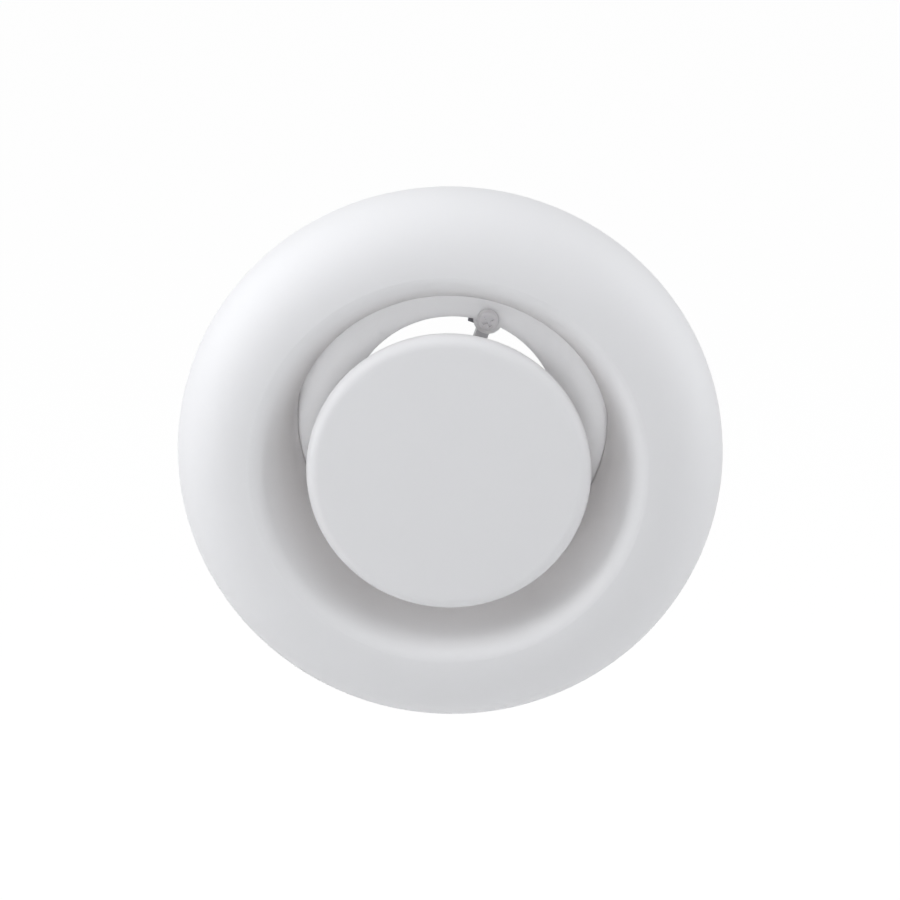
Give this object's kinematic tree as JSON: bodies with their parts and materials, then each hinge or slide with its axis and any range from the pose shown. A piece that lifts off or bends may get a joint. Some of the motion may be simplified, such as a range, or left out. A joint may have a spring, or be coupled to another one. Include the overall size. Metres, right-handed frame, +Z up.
{
  "type": "extract air valve",
  "caption": "Round white extract air valve with a bell-mouth face ring, a neck for a duct and a centre disc that screws in and out on a spindle to set the air flow.",
  "frame": {"origin": "on the valve's axis, at the wall plane", "axes": "+Z up, +X to the right seen from the room, +Y along the axis into the duct; the face looks along -Y"},
  "size_m": [0.15, 0.0856, 0.15],
  "materials": {
    "white_plastic": "smooth moulded white plastic, satin gloss",
    "bridge_plastic": "moulded white plastic, matte",
    "plated_steel": "zinc plated",
    "spring_steel": "dark spring steel",
    "brass_bush": "turned",
    "foam": "closed-cell foam"
  },
  "bodies": {
    "valve_body": {"face_ring": "white_plastic", "neck": "white_plastic", "inner_flange": "white_plastic", "bridge": "bridge_plastic", "hub_bush": "brass_bush", "lock_washer": "plated_steel", "face_gasket": "foam", "clip_nut_a": "spring_steel", "clip_nut_b": "spring_steel", "clip_nut_c": "spring_steel", "arm_screw_a": "plated_steel", "arm_screw_b": "plated_steel", "arm_screw_c": "plated_steel"},
    "spindle": {"spindle": "plated_steel"},
    "disc": {"valve_disc": "white_plastic"},
    "lock_nut": {"lock_nut": "plated_steel"}
  },
  "joints": [
    {"name": "disc_travel", "type": "slide", "parent": "valve_body", "child": "spindle", "axis": [0, -1, 0], "range_m": [-0.0461, 0.0061]},
    {"name": "disc_turn", "type": "hinge", "parent": "spindle", "child": "disc", "pos_m": [0, 0, 0], "axis": [0, -1, 0], "range_deg": [-4140, 540]},
    {"name": "lock_nut_turn", "type": "hinge", "parent": "valve_body", "child": "lock_nut", "pos_m": [0, 0.05, 0], "axis": [0, -1, 0], "range_deg": [-90, 0]}
  ],
  "couplings": [
    {"joint": "disc_travel", "follows": "disc_turn", "m_per_rad": 0.00063662}
  ]
}
